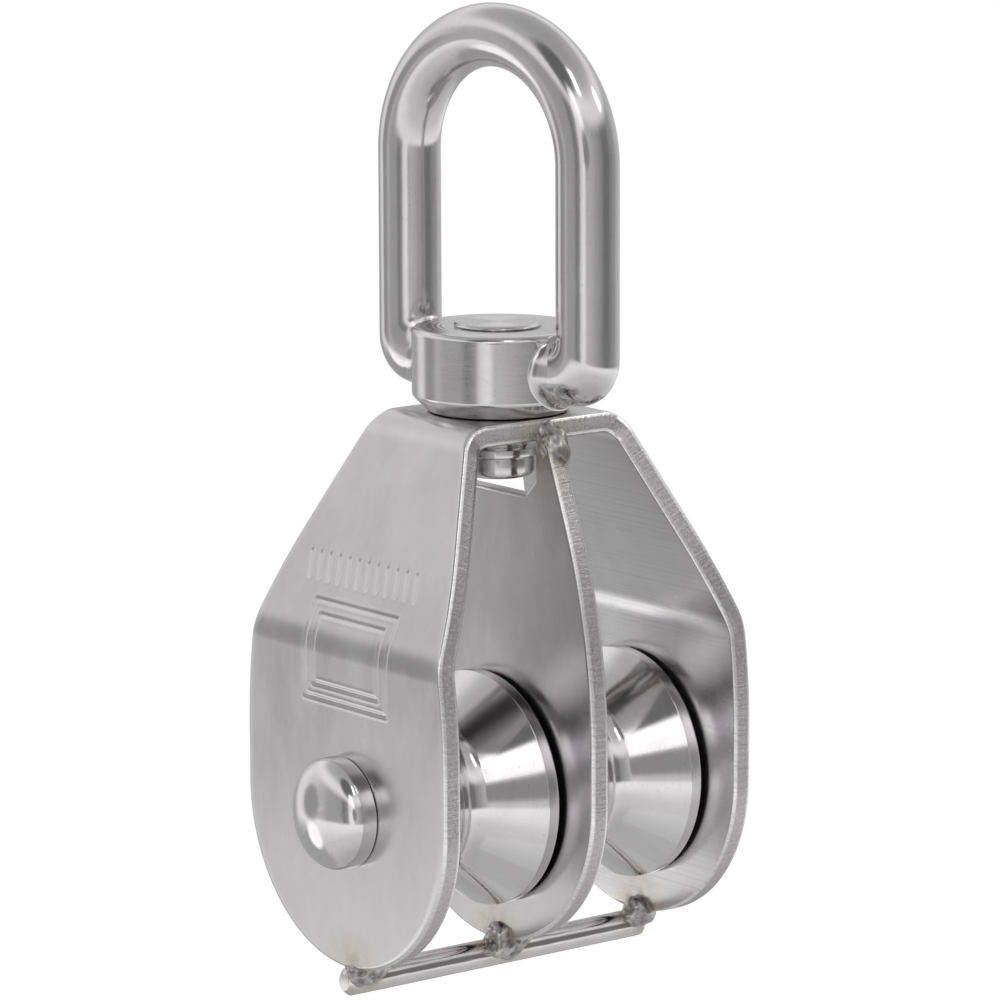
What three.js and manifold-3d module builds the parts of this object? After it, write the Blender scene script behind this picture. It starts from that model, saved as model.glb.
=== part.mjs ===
// Swivel double sheave block in stainless steel, for 20 mm rope sheaves.
//
// Millimetres, +Z up. The axle lies along X and the rope runs in planes across it.
// The block is laid out from the centre of its axle, and the whole group is then lowered,
// so that its origin is the point inside the eye where a hook or shackle bears.

import * as THREE from 'three';
import { mergeVertices } from 'three/addons/utils/BufferGeometryUtils.js';
import Module from 'manifold-3d';

const wasm = await Module();
wasm.setup();

// ---- Driving dimensions ----

// Sheaves: the nominal size of the block is the diameter over their rims.
const sheaveDiameter = 20;
const sheaveWidth = 12.8;
const sheaveRimWidth = 1.2;
const sheaveRimChamfer = 0.2;
const grooveDepth = 3.7;
const grooveFlankAngle = THREE.MathUtils.degToRad(50);
const sheaveSideGap = 0.4;

// Sheet that the cheeks, the crown and the centre plate are cut from.
const plateThickness = 1.8;
const cheekSplay = THREE.MathUtils.degToRad(24.4);
const crownBendRadius = 3.2;
const kneeBendRadius = 6;

// Outline of the plates, before they are bent.
const lobeRadius = 13.65;
const lobeCentreZ = 0.3;
const sideRise = 5;
const shoulderRadius = 52;
const taperAngle = THREE.MathUtils.degToRad(21);
const crownHalfWidth = 6.45;

// Heights above the axle.
const crownTopZ = 32.1;
const crownCornerX = 8.15;
const notchBottomZ = 25.5;
const notchHalfWidth = 6;
const notchCornerCut = 1.4;

// Axle: a rivet with a domed head on the left cheek and a peened end on the right one.
const axleRadius = 3;
const axleHeadRadius = 4.7;
const axleHeadSkirt = 1.2;
const axleHeadRise = 2.3;
const axlePeenRadius = 4;
const axlePeenSkirt = 0.2;
const axlePeenRise = 1.1;

// Tie rod under the plates. It sticks out past the left cheek and stops short of the right one.
const tieRodRadius = 1.2;
const tieRodLeftOverhang = 0.2;
const tieRodRightSetback = 0.8;
const tieRodChamfer = 0.5;

// Swivel: a collar that turns on the crown, and the pin that hangs the crown from it.
const collarRadius = 7.2;
const collarTopZ = 39.2;
const collarTopChamfer = 0.5;
const collarFootChamfer = 1.3;
const pinRadius = 2.4;
const pinHeadRadius = 3.1;
const pinHeadTopZ = 28.4;
const pinHeadHeight = 1.8;
const pinHeadRounding = 0.6;
const pinPeenRadius = 3.8;
const pinPeenRise = 0.3;
const washerRadius = 3.5;
const washerThickness = 0.7;

// Eye: a round bar bent to a long U, with its ends turned in to the collar.
const barRadius = 2.64;
const legHalfSpacing = 10.2;
const eyeInnerTopZ = 60.8;
const footZ = 36;
const footBendRadius = 2.8;
const eyeTurn = THREE.MathUtils.degToRad(8.4);
const footWeldWidth = 0.9;
const footWeldDepth = 1.2;

// Reach of the blobs of weld metal on the frame, from their centres, along X, Y and Z.
const crownWeldReach = [2.2, 1.5, 1.8];
const tieRodWeldReach = [2.3, 1.9, 2];
const tieRodWeldForward = 0.9;

// Clearances.
const turningGap = 0.06;
const weldGap = 0.05;

// How far a cutting solid reaches past the solid that it cuts.
const cutMargin = 1;

// ---- Dimensions that follow from those above ----

const sheaveRadius = sheaveDiameter / 2;
const bayWidth = sheaveWidth + 2 * sheaveSideGap;
const cheekInnerX = plateThickness / 2 + bayWidth;
const cheekOuterX = cheekInnerX + plateThickness;
const sheaveCentreX = plateThickness / 2 + bayWidth / 2;
const kneeZ = crownTopZ - (cheekOuterX - crownCornerX) / Math.tan(cheekSplay);
const crownUnderZ = crownTopZ - plateThickness;
const plateFootZ = lobeCentreZ - lobeRadius;
const tieRodZ = plateFootZ - tieRodRadius - weldGap;
const archCentreZ = eyeInnerTopZ + barRadius - legHalfSpacing;
const collarFootZ = crownTopZ + turningGap;

// Number of flat facets that a full turn is made of.
const sheaveFacets = 44;
const roundFacets = 32;
const barFacets = 16;
const weldFacets = 14;

// Number of straight steps that a curve of a profile is made of.
const grooveSteps = 10;
const domeSteps = 6;
const bendSteps = 6;
const outlineSteps = 12;
const barSteps = 64;

// ---- Materials ----

function steel(colour, roughness) {
  return new THREE.MeshStandardMaterial({ color: colour, roughness, metalness: 1 });
}

const satinSheet = steel(0xc1bebf, 0.38);
const polishedSteel = steel(0xd8d6d7, 0.12);
const polishedBar = steel(0xc8c5c6, 0.2);
const weldMetal = steel(0x8f8a86, 0.45);

// ---- Solids and geometries ----

function solidOf(geometry) {
  const bare = geometry.clone();
  bare.deleteAttribute('normal');
  bare.deleteAttribute('uv');
  const merged = mergeVertices(bare);
  const corners = merged.index.array;
  const triangles = [];
  for (let i = 0; i < corners.length; i += 3) {
    const [a, b, c] = corners.slice(i, i + 3);
    if (a !== b && b !== c && c !== a) triangles.push(a, b, c);
  }
  return new wasm.Manifold(new wasm.Mesh({
    numProp: 3,
    vertProperties: Float32Array.from(merged.attributes.position.array),
    triVerts: Uint32Array.from(triangles),
  }));
}

function geometryOf(solid) {
  const mesh = solid.getMesh();
  const geometry = new THREE.BufferGeometry();
  geometry.setAttribute('position', new THREE.BufferAttribute(mesh.vertProperties, 3));
  geometry.setIndex(new THREE.BufferAttribute(mesh.triVerts, 1));
  geometry.computeVertexNormals();
  return geometry;
}

const alongX = new THREE.Vector3(1, 0, 0);
const alongY = new THREE.Vector3(0, 1, 0);
const alongZ = new THREE.Vector3(0, 0, 1);

// A profile of [radius, height] pairs turned about Z.
function turnedAboutZ(profile, facets = roundFacets) {
  const points = profile.map(([radius, height]) => new THREE.Vector2(radius, height));
  return new THREE.LatheGeometry(points, facets).rotateX(Math.PI / 2);
}

// A profile of [radius, distance] pairs turned about X.
function turnedAboutX(profile, facets = roundFacets) {
  const points = profile.map(([radius, distance]) => new THREE.Vector2(radius, distance));
  return new THREE.LatheGeometry(points, facets).rotateZ(-Math.PI / 2);
}

// A shape drawn in Y and Z, as a slab between two distances along X.
function slabAcrossX(shape, fromX, toX) {
  const slab = new THREE.ExtrudeGeometry(shape, { depth: toX - fromX, bevelEnabled: false });
  slab.applyMatrix4(new THREE.Matrix4().makeBasis(alongY, alongZ, alongX));
  return slab.translate(fromX, 0, 0);
}

// A shape drawn in X and Z, as a slab that reaches the same distance both ways along Y.
function slabAcrossY(shape, halfDepth) {
  const slab = new THREE.ExtrudeGeometry(shape, { depth: 2 * halfDepth, bevelEnabled: false });
  slab.applyMatrix4(new THREE.Matrix4().makeBasis(alongX, alongZ, alongY.clone().negate()));
  return slab.translate(0, halfDepth, 0);
}

function rodAlongX(radius, fromX, toX, facets = roundFacets) {
  return turnedAboutX([[0, fromX], [radius, fromX], [radius, toX], [0, toX]], facets);
}

function rodAlongZ(radius, fromZ, toZ, facets = roundFacets) {
  return turnedAboutZ([[0, fromZ], [radius, fromZ], [radius, toZ], [0, toZ]], facets);
}

// A blob of weld metal: an ellipsoid.
function blob(centre, radii) {
  return new THREE.SphereGeometry(1, weldFacets, weldFacets / 2).scale(...radii).translate(...centre);
}

// ---- Plates ----

// Right-hand half of a plate's outline, from the crown down to the bottom of the lobe.
// Its heights are those of the flat sheet, before the cheeks are splayed.
// grow moves the whole outline outwards, for cutting a clearance in a neighbour.
function halfOutline(topZ, grow) {
  const lobe = lobeRadius + grow;
  const shoulder = shoulderRadius + grow;
  const crown = crownHalfWidth + grow;
  const shoulderTopZ = sideRise + shoulder * Math.sin(taperAngle);
  const shoulderTopY = lobe - shoulder * (1 - Math.cos(taperAngle));
  const taperTopZ = shoulderTopZ + (shoulderTopY - crown) / Math.tan(taperAngle);
  const half = new THREE.Path();
  if (topZ > taperTopZ) {
    half.moveTo(crown, topZ);
    half.lineTo(crown, taperTopZ);
  } else {
    half.moveTo(crown + (taperTopZ - topZ) * Math.tan(taperAngle), topZ);
  }
  half.lineTo(shoulderTopY, shoulderTopZ);
  half.absarc(lobe - shoulder, sideRise, shoulder, taperAngle, 0, true);
  half.absarc(0, lobeCentreZ, lobe, 0, -Math.PI / 2, true);
  return half.getPoints(outlineSteps);
}

// The whole outline. bentHeight turns a height on the flat sheet into one on the bent plate.
function plateOutline(topZ, bentHeight, grow) {
  const right = halfOutline(topZ, grow)
    .map((point) => new THREE.Vector2(point.x, bentHeight(point.y)));
  const left = right.slice(0, -1).reverse().map((point) => new THREE.Vector2(-point.x, point.y));
  return new THREE.Shape([...right, ...left]);
}

function cheekHeight(flatZ) {
  return flatZ > kneeZ ? kneeZ + (flatZ - kneeZ) * Math.cos(cheekSplay) : flatZ;
}

// Points along a bent line, each with the direction that points into the sheet.
function bentLine(corners, radii) {
  const stations = [];
  for (let i = 1; i < corners.length - 1; i++) {
    const before = corners[i].clone().sub(corners[i - 1]).normalize();
    const after = corners[i + 1].clone().sub(corners[i]).normalize();
    const turn = before.angleTo(after);
    const setback = radii[i - 1] * Math.tan(turn / 2);
    const start = corners[i].clone().addScaledVector(before, -setback);
    const inward = new THREE.Vector2(before.y, -before.x);
    const centre = start.clone().addScaledVector(inward, radii[i - 1]);
    for (let step = 0; step <= bendSteps; step++) {
      const into = inward.clone().rotateAround(new THREE.Vector2(), -turn * step / bendSteps);
      stations.push({ point: centre.clone().addScaledVector(into, -radii[i - 1]), into });
    }
  }
  const first = { point: corners[0].clone(), into: stations[0].into };
  const last = { point: corners.at(-1).clone(), into: stations.at(-1).into };
  return [first, ...stations, last];
}

// Both cheeks and the crown: one strip, bent at the knees and at the crown.
function strapSection(grow) {
  const lowestZ = plateFootZ - cutMargin;
  const corners = [
    new THREE.Vector2(-cheekOuterX, lowestZ),
    new THREE.Vector2(-cheekOuterX, kneeZ),
    new THREE.Vector2(-crownCornerX, crownTopZ),
    new THREE.Vector2(crownCornerX, crownTopZ),
    new THREE.Vector2(cheekOuterX, kneeZ),
    new THREE.Vector2(cheekOuterX, lowestZ),
  ];
  const radii = [kneeBendRadius, crownBendRadius, crownBendRadius, kneeBendRadius];
  const line = bentLine(corners, radii);
  const outer = line.map(({ point, into }) => point.clone().addScaledVector(into, -grow));
  const inner = line.map(({ point, into }) => {
    return point.clone().addScaledVector(into, plateThickness + grow);
  });
  return new THREE.Shape([...outer, ...inner.reverse()]);
}

function strapSolid(grow) {
  const flatTopZ = kneeZ + (crownTopZ - kneeZ + cutMargin) / Math.cos(cheekSplay);
  const outline = plateOutline(flatTopZ, cheekHeight, grow);
  const reachX = cheekOuterX + cutMargin;
  const strip = solidOf(slabAcrossY(strapSection(grow), lobeRadius + cutMargin));
  return strip.intersect(solidOf(slabAcrossX(outline, -reachX, reachX)));
}

function frameStrap() {
  const reachX = cheekOuterX + cutMargin;
  const axleHole = rodAlongX(axleRadius + weldGap, -reachX, reachX);
  const pinHole = rodAlongZ(
    pinRadius + turningGap, crownUnderZ - cutMargin, crownTopZ + cutMargin);
  return geometryOf(strapSolid(0).subtract(solidOf(axleHole)).subtract(solidOf(pinHole)));
}

// The notch in the top of the centre plate, which clears the head of the swivel pin.
function notchShape() {
  const floor = notchHalfWidth - notchCornerCut;
  const corner = notchBottomZ + notchCornerCut;
  return new THREE.Shape([
    new THREE.Vector2(-notchHalfWidth, crownTopZ),
    new THREE.Vector2(-notchHalfWidth, corner),
    new THREE.Vector2(-floor, notchBottomZ),
    new THREE.Vector2(floor, notchBottomZ),
    new THREE.Vector2(notchHalfWidth, corner),
    new THREE.Vector2(notchHalfWidth, crownTopZ),
  ]);
}

// The plate between the sheaves, from its bottom up to the underside of the crown.
function centrePlateSolid(grow) {
  const half = plateThickness / 2 + grow;
  const outline = plateOutline(crownUnderZ - weldGap, (flatZ) => flatZ, grow);
  const plate = solidOf(slabAcrossX(outline, -half, half));
  return plate.subtract(solidOf(slabAcrossX(notchShape(), -half - cutMargin, half + cutMargin)));
}

function centrePlate() {
  const axleHole = solidOf(rodAlongX(axleRadius + weldGap, -plateThickness, plateThickness));
  return geometryOf(centrePlateSolid(0).subtract(axleHole));
}

// ---- Axle and tie rod ----

// Half of a domed head, as [radius, distance] pairs from its edge to its crest.
function dome(radius, fromX, toX) {
  const points = [];
  for (let step = 0; step <= domeSteps; step++) {
    const angle = (Math.PI / 2) * (step / domeSteps);
    points.push([radius * Math.cos(angle), fromX + (toX - fromX) * Math.sin(angle)]);
  }
  points.at(-1)[0] = 0;
  return points;
}

function axle() {
  const headFaceX = -cheekOuterX - weldGap;
  const headEdgeX = headFaceX - axleHeadSkirt;
  const peenFaceX = cheekOuterX + weldGap;
  return turnedAboutX([
    ...dome(axleHeadRadius, headEdgeX, headEdgeX - axleHeadRise).reverse(),
    [axleHeadRadius, headFaceX],
    [axleRadius, headFaceX],
    [axleRadius, peenFaceX],
    [axlePeenRadius, peenFaceX],
    ...dome(axlePeenRadius, peenFaceX + axlePeenSkirt, peenFaceX + axlePeenRise),
  ]);
}

function tieRod() {
  const leftEnd = -cheekOuterX - tieRodLeftOverhang;
  const rightEnd = cheekOuterX - tieRodRightSetback;
  return turnedAboutX([
    [0, leftEnd],
    [tieRodRadius - tieRodChamfer, leftEnd],
    [tieRodRadius, leftEnd + tieRodChamfer],
    [tieRodRadius, rightEnd - tieRodChamfer],
    [tieRodRadius - tieRodChamfer, rightEnd],
    [0, rightEnd],
  ]).translate(0, 0, tieRodZ);
}

// ---- Sheaves ----

// A rope sheave, turned about X through its own centre. Its groove has straight flanks that
// meet in a round bottom.
function sheave() {
  const half = sheaveWidth / 2;
  const grooveHalf = half - sheaveRimWidth;
  const flankSine = Math.sin(grooveFlankAngle);
  const flankCosine = Math.cos(grooveFlankAngle);
  const bottomRadius = (grooveHalf * flankCosine - grooveDepth * flankSine) / (1 - flankSine);
  const arcCentre = sheaveRadius - grooveDepth + bottomRadius;
  const arcHalfAngle = Math.PI / 2 - grooveFlankAngle;
  const bore = axleRadius + turningGap;
  const profile = [
    [bore, -half],
    [sheaveRadius - sheaveRimChamfer, -half],
    [sheaveRadius, -half + sheaveRimChamfer],
    [sheaveRadius, -grooveHalf],
  ];
  for (let step = 0; step <= grooveSteps; step++) {
    const angle = arcHalfAngle * (2 * step / grooveSteps - 1);
    profile.push([
      arcCentre - bottomRadius * Math.cos(angle),
      bottomRadius * Math.sin(angle),
    ]);
  }
  profile.push(
    [sheaveRadius, grooveHalf],
    [sheaveRadius, half - sheaveRimChamfer],
    [sheaveRadius - sheaveRimChamfer, half],
    [bore, half],
    [bore, -half],
  );
  return turnedAboutX(profile, sheaveFacets);
}

// ---- Swivel ----

function collar() {
  const bore = pinRadius + weldGap;
  return turnedAboutZ([
    [bore, collarFootZ],
    [collarRadius - collarFootChamfer, collarFootZ],
    [collarRadius, collarFootZ + collarFootChamfer],
    [collarRadius, collarTopZ - collarTopChamfer],
    [collarRadius - collarTopChamfer, collarTopZ],
    [bore, collarTopZ],
    [bore, collarFootZ],
  ]);
}

// The pin's lower end has a rounded head, and its upper end is peened over the collar.
function swivelPin() {
  const headFootZ = pinHeadTopZ - pinHeadHeight;
  const peenFaceZ = collarTopZ + weldGap;
  const cornerCut = pinHeadRounding * (1 - Math.SQRT1_2);
  return turnedAboutZ([
    [0, headFootZ],
    [pinHeadRadius - pinHeadRounding, headFootZ],
    [pinHeadRadius - cornerCut, headFootZ + cornerCut],
    [pinHeadRadius, headFootZ + pinHeadRounding],
    [pinHeadRadius, pinHeadTopZ],
    [pinRadius, pinHeadTopZ],
    [pinRadius, peenFaceZ],
    [pinPeenRadius, peenFaceZ],
    [pinPeenRadius - pinPeenRise, peenFaceZ + pinPeenRise],
    [0, peenFaceZ + pinPeenRise],
  ]);
}

function swivelWasher() {
  const bore = pinRadius + turningGap;
  const footZ = pinHeadTopZ + weldGap;
  return turnedAboutZ([
    [bore, footZ],
    [washerRadius, footZ],
    [washerRadius, footZ + washerThickness],
    [bore, footZ + washerThickness],
    [bore, footZ],
  ]);
}

// ---- Eye ----

// Centre line of the bar, drawn in the plane of the legs, from the front foot to the rear one.
class BarCurve extends THREE.Curve {
  constructor() {
    super();
    const footReach = collarRadius - cutMargin;
    const bendY = legHalfSpacing - footBendRadius;
    const bendZ = footZ + footBendRadius;
    this.outline = new THREE.Path();
    this.outline.moveTo(-footReach, footZ);
    this.outline.lineTo(-bendY, footZ);
    this.outline.absarc(-bendY, bendZ, footBendRadius, -Math.PI / 2, -Math.PI, true);
    this.outline.lineTo(-legHalfSpacing, archCentreZ);
    this.outline.absarc(0, archCentreZ, legHalfSpacing, Math.PI, 0, true);
    this.outline.lineTo(legHalfSpacing, bendZ);
    this.outline.absarc(bendY, bendZ, footBendRadius, 0, -Math.PI / 2, true);
    this.outline.lineTo(footReach, footZ);
  }

  getPoint(t, target = new THREE.Vector3()) {
    const point = this.outline.getPoint(t);
    return target.set(0, point.x, point.y);
  }
}

function barSolid(radius) {
  const section = new THREE.Shape().absarc(0, 0, radius, 0, 2 * Math.PI, false);
  return solidOf(new THREE.ExtrudeGeometry(section, {
    steps: barSteps,
    curveSegments: barFacets / 2,
    extrudePath: new BarCurve(),
  }));
}

function collarClearance() {
  const reachZ = 2 * barRadius;
  return solidOf(rodAlongZ(collarRadius + weldGap, footZ - reachZ, footZ + reachZ));
}

function eyeBar() {
  return geometryOf(barSolid(barRadius).subtract(collarClearance()));
}

// Ring of weld metal where a foot of the bar meets the collar. side is -1 at the front.
function footWeld(side) {
  const ring = new THREE.LatheGeometry([
    new THREE.Vector2(0, collarRadius - footWeldDepth),
    new THREE.Vector2(barRadius + footWeldWidth, collarRadius - footWeldDepth),
    new THREE.Vector2(barRadius + footWeldWidth, collarRadius),
    new THREE.Vector2(barRadius + footWeldWidth / 3, collarRadius + footWeldWidth),
    new THREE.Vector2(0, collarRadius + footWeldWidth),
  ], roundFacets);
  if (side < 0) ring.rotateX(Math.PI);
  ring.translate(0, 0, footZ);
  const bar = barSolid(barRadius + weldGap);
  return geometryOf(solidOf(ring).subtract(collarClearance()).subtract(bar));
}

// ---- Welds of the frame ----

// Weld metal that joins an ear of the centre plate to the crown. side is -1 at the front.
function crownWeld(side) {
  const innerY = notchHalfWidth + weldGap;
  const centre = [0, side * (innerY + crownWeldReach[1]), crownUnderZ];
  const metal = solidOf(blob(centre, crownWeldReach));
  return geometryOf(metal.subtract(strapSolid(weldGap)).subtract(centrePlateSolid(weldGap)));
}

// Weld metal that joins a plate to the front of the tie rod, about the distance x.
function tieRodWeld(x) {
  const metal = solidOf(blob([x, -tieRodWeldForward, plateFootZ], tieRodWeldReach));
  const reachX = cheekOuterX + tieRodWeldReach[0];
  const rod = rodAlongX(tieRodRadius + weldGap, -reachX, reachX).translate(0, 0, tieRodZ);
  const clear = metal.subtract(solidOf(rod));
  return geometryOf(clear.subtract(strapSolid(weldGap)).subtract(centrePlateSolid(weldGap)));
}

// ---- Assembly ----

function piece(name, geometry, material) {
  const mesh = new THREE.Mesh(geometry, material);
  mesh.name = name;
  return mesh;
}

// The eye, its collar and the pin turn together on the crown.
function eyeGroup() {
  const group = new THREE.Group();
  group.rotation.z = eyeTurn;
  group.add(piece('eye_bar', eyeBar(), polishedBar));
  group.add(piece('swivel_collar', collar(), polishedBar));
  group.add(piece('eye_weld_front', footWeld(-1), weldMetal));
  group.add(piece('eye_weld_rear', footWeld(1), weldMetal));
  group.add(piece('swivel_pin', swivelPin(), polishedSteel));
  group.add(piece('swivel_washer', swivelWasher(), polishedSteel));
  return group;
}

// The frame that carries the axle: the cheeks and crown, the centre plate and the tie rod.
function frameGroup() {
  const group = new THREE.Group();
  group.add(piece('cheek_strap', frameStrap(), satinSheet));
  group.add(piece('centre_plate', centrePlate(), satinSheet));
  group.add(piece('crown_weld_front', crownWeld(-1), weldMetal));
  group.add(piece('crown_weld_rear', crownWeld(1), weldMetal));
  group.add(piece('axle_rivet', axle(), polishedSteel));
  group.add(piece('tie_rod', tieRod(), polishedBar));
  group.add(piece('tie_rod_weld_left', tieRodWeld(-cheekInnerX), weldMetal));
  group.add(piece('tie_rod_weld_centre', tieRodWeld(0), weldMetal));
  group.add(piece('tie_rod_weld_right', tieRodWeld(cheekInnerX), weldMetal));
  return group;
}

const block = new THREE.Group();
block.position.z = -eyeInnerTopZ;
block.add(eyeGroup());
block.add(frameGroup());
for (const [name, side] of [['sheave_left', -1], ['sheave_right', 1]]) {
  const turning = piece(name, sheave(), polishedSteel);
  turning.position.x = side * sheaveCentreX;
  block.add(turning);
}

export default block;
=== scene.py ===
# Looks of the swivel double sheave block: smooth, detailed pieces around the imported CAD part.
#
# Lengths below are in millimetres, in a frame whose origin is the middle of the axle.
# They become metres in the CAD's own frame where a mesh is made.

import math

import bmesh
import bpy
from mathutils import Matrix, Vector, noise


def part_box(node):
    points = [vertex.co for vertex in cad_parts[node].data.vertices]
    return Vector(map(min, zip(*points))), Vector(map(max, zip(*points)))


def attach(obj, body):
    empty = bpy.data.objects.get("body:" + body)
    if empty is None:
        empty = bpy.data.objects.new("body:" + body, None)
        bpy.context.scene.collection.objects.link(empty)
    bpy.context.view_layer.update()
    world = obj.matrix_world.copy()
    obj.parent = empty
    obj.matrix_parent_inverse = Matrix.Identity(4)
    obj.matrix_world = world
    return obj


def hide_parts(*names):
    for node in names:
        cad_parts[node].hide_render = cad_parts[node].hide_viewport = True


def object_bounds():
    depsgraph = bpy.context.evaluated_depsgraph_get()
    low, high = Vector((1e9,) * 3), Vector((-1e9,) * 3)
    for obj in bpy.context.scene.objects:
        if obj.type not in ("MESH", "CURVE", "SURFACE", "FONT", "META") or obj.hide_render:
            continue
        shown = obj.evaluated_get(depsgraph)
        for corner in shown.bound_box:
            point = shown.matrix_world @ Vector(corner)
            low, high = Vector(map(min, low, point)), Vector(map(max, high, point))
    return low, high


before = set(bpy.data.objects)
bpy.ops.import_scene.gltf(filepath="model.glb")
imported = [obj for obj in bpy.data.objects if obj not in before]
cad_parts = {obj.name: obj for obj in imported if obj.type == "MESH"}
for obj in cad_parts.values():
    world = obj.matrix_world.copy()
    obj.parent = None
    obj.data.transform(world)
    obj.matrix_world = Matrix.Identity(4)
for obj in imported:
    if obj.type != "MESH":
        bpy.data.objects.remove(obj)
cad_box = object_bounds()

MM = 0.001
sheave_low, sheave_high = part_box("sheave_left")
ORIGIN = Vector((0, 0, (sheave_low[2] + sheave_high[2]) / 2))


def node_box(node):
    """Lowest and highest corner of a CAD node, in millimetres from the middle of the axle."""
    return [[(corner[i] - ORIGIN[i]) / MM for i in range(3)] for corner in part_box(node)]


# ---- Sizes that the CAD part gives ----

SHEET = node_box("centre_plate")[1][0] * 2
SHEAVE_LEFT = node_box("sheave_left")
SHEAVE_RIGHT = node_box("sheave_right")
SHEAVE_RADIUS = SHEAVE_LEFT[1][2]
SHEAVE_WIDTH = SHEAVE_LEFT[1][0] - SHEAVE_LEFT[0][0]
STRAP = node_box("cheek_strap")
CHEEK_X = STRAP[1][0]
CROWN_Z = STRAP[1][2]
LOBE_RADIUS = STRAP[1][1]
LOBE_Z = STRAP[0][2] + LOBE_RADIUS
PLATE_TOP_Z = node_box("centre_plate")[1][2]
ROD = node_box("tie_rod")
ROD_RADIUS = (ROD[1][2] - ROD[0][2]) / 2
ROD_Z = (ROD[1][2] + ROD[0][2]) / 2
AXLE = node_box("axle_rivet")
HEAD_RADIUS = AXLE[1][2]
COLLAR = node_box("swivel_collar")
PIN = node_box("swivel_pin")
WASHER = node_box("swivel_washer")
EYE = node_box("eye_bar")

# ---- Shape details that repeat those of the CAD part, angles in radians ----

SPLAY = math.radians(24.4)
CROWN_CORNER_X = 8.15
CROWN_BEND = 3.2
KNEE_BEND = 6.0
SIDE_RISE = 5.0
SHOULDER_RADIUS = 52.0
TAPER = math.radians(21)
CROWN_HALF_WIDTH = 6.45
AXLE_RADIUS = 3.0
PIN_RADIUS = 2.4
COLLAR_RADIUS = 7.2
BAR_RADIUS = 2.64
LEG_SPACING = 10.2
FOOT_Z = 36.0
EYE_TURN = math.radians(8.4)
GROOVE_DEPTH = 3.7
GROOVE_FLANK = math.radians(50)
RIM_WIDTH = 1.2
NOTCH_BOTTOM = 25.5
NOTCH_HALF = 6.0
NOTCH_CUT = 1.4
HOLE_CLEARANCE = 0.06
SEAT_GAP = 0.05


# ---- Making meshes ----

SAME_PLACE = 1e-7  # metres within which two points are one
ON_AXIS = 1e-6  # radius below which a point lies on the lathe's axis


def new_object(name, points, faces, sheet_marks=()):
    """A mesh object from points in millimetres.

    sheet_marks holds (distance along the cut edge, depth, band) for each point of a sheet.
    """
    mesh = bpy.data.meshes.new(name)
    mesh.from_pydata([Vector(p) * MM + ORIGIN for p in points], [], faces)
    if sheet_marks:
        marks = mesh.attributes.new("sheet_marks", "FLOAT_VECTOR", "POINT")
        for index, mark in enumerate(sheet_marks):
            marks.data[index].vector = mark
    bm = bmesh.new()
    bm.from_mesh(mesh)
    bmesh.ops.remove_doubles(bm, verts=bm.verts, dist=SAME_PLACE)
    bmesh.ops.recalc_face_normals(bm, faces=bm.faces)
    bm.to_mesh(mesh)
    bm.free()
    for polygon in mesh.polygons:
        polygon.use_smooth = True
    obj = bpy.data.objects.new(name, mesh)
    bpy.context.scene.collection.objects.link(obj)
    return obj


def finish_piece(piece, body, material, node):
    """Gives a piece its material and the body that it rides on, and hides the CAD node it stands
    for.
    """
    piece.data.materials.clear()
    piece.data.materials.append(material)
    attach(piece, body)
    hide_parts(node)
    return piece


def keep_edges_crisp(piece, angle=40):
    """Smooth shading that breaks at edges sharper than the angle in degrees."""
    mesh = piece.data
    bm = bmesh.new()
    bm.from_mesh(mesh)
    for edge in bm.edges:
        if len(edge.link_faces) == 2 and edge.calc_face_angle() > math.radians(angle):
            edge.smooth = False
    bm.to_mesh(mesh)
    bm.free()
    weighted = piece.modifiers.new("weighted", "WEIGHTED_NORMAL")
    weighted.keep_sharp = True


def wobble(point, scale, amount):
    """Signed noise at a point: scale is the size of its lumps in millimetres."""
    return amount * noise.noise(Vector(point) / scale)


def lathe(profile, segments, place):
    """Points and faces of a closed profile of (radius, height) turned about an axis.

    place turns (radius, angle, height) into a point.
    """
    points = []
    rings = []
    for radius, height in profile:
        if radius < ON_AXIS:
            rings.append([len(points)])
            points.append(place(0, 0, height))
            continue
        rings.append(list(range(len(points), len(points) + segments)))
        for i in range(segments):
            points.append(place(radius, 2 * math.pi * i / segments, height))
    faces = []
    closed = profile[0][0] > ON_AXIS and profile[-1][0] > ON_AXIS
    pairs = list(zip(rings, rings[1:])) + ([(rings[-1], rings[0])] if closed else [])
    for lower, upper in pairs:
        for i in range(segments):
            j = (i + 1) % segments
            corners = [lower[i % len(lower)], lower[j % len(lower)],
                       upper[j % len(upper)], upper[i % len(upper)]]
            unique = list(dict.fromkeys(corners))
            if len(unique) > 2:
                faces.append(unique)
    return points, faces


def drill(piece, radius, low, high, segments, place):
    """Cuts a round hole through a piece, from one height on its axis to another."""
    hole = [(0, low), (radius, low), (radius, high), (0, high)]
    cutter = new_object("cutter", *lathe(hole, segments, place))
    cut = piece.modifiers.new("cut", "BOOLEAN")
    cut.operation = "DIFFERENCE"
    cut.solver = "MANIFOLD"
    cut.object = cutter
    graph = bpy.context.evaluated_depsgraph_get()
    result = bpy.data.meshes.new_from_object(piece.evaluated_get(graph))
    piece.modifiers.remove(cut)
    old = piece.data
    piece.data = result
    bpy.data.meshes.remove(old)
    bpy.data.objects.remove(cutter)


def stitched(rings, closed=False):
    """Four-sided faces between each ring of point numbers and the next one."""
    faces = []
    for lower, upper in zip(rings, rings[1:] + (rings[:1] if closed else [])):
        for k in range(len(lower)):
            m = (k + 1) % len(lower)
            faces.append((lower[k], lower[m], upper[m], upper[k]))
    return faces


def about_x(radius, angle, height):
    """A point of a piece that is turned about the axle."""
    return (height, radius * math.cos(angle), radius * math.sin(angle))


def about_z(radius, angle, height):
    """A point of a piece that is turned about the swivel's axis."""
    return (radius * math.cos(angle), radius * math.sin(angle), height)


def turning_mark(step, half_period, depth):
    """Depth of the faint rings that a lathe tool leaves, at a step across a turned face."""
    return depth * (1 - math.cos(step * math.pi / half_period)) / 2


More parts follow.
